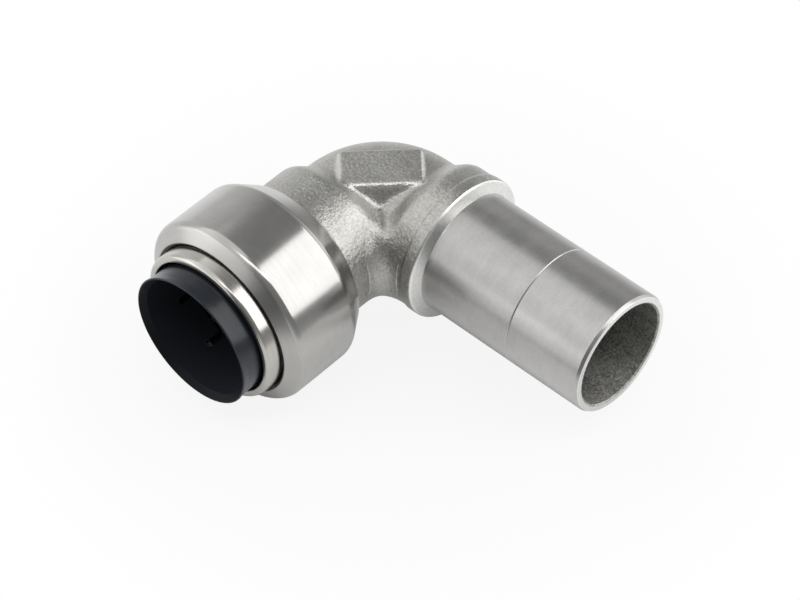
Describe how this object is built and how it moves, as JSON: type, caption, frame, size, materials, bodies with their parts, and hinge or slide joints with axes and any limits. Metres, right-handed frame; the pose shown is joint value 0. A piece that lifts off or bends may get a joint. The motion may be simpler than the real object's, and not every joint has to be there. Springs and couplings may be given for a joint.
{
  "type": "push-fit street elbow",
  "caption": "Right-angle tube fitting with a push-fit socket on one leg and a plain spigot on the other, cast in stainless steel, with a drawn cap over a plastic release collar.",
  "frame": {"origin": "on the socket's axis, where the end of the inserted tube meets its stop", "axes": "+X out of the spigot, -Y out of the socket, +Z out of the flat pad on the bend; the spigot's axis lies 20.5 mm towards +Y from the origin"},
  "size_m": [0.0711, 0.0582, 0.0348],
  "materials": {
    "casting": "matte cast surface, turned satin on the spigot",
    "cap_steel": "smooth drawn satin",
    "ring_steel": "bright",
    "spring_steel": "satin",
    "seal": "matte",
    "inner_plastic": "matte",
    "collar_plastic": "satin"
  },
  "bodies": {
    "fitting": {"elbow_body": "casting", "seal_ring": "seal", "support_washer": "inner_plastic", "grab_ring": "spring_steel", "spacer_ring": "inner_plastic", "guide_ring": "ring_steel", "socket_cap": "cap_steel"},
    "collar": {"release_collar": "collar_plastic"}
  },
  "joints": [
    {"name": "collar_slide", "type": "slide", "parent": "fitting", "child": "collar", "axis": [0, 1, 0], "range_m": [0, 0.002]}
  ]
}
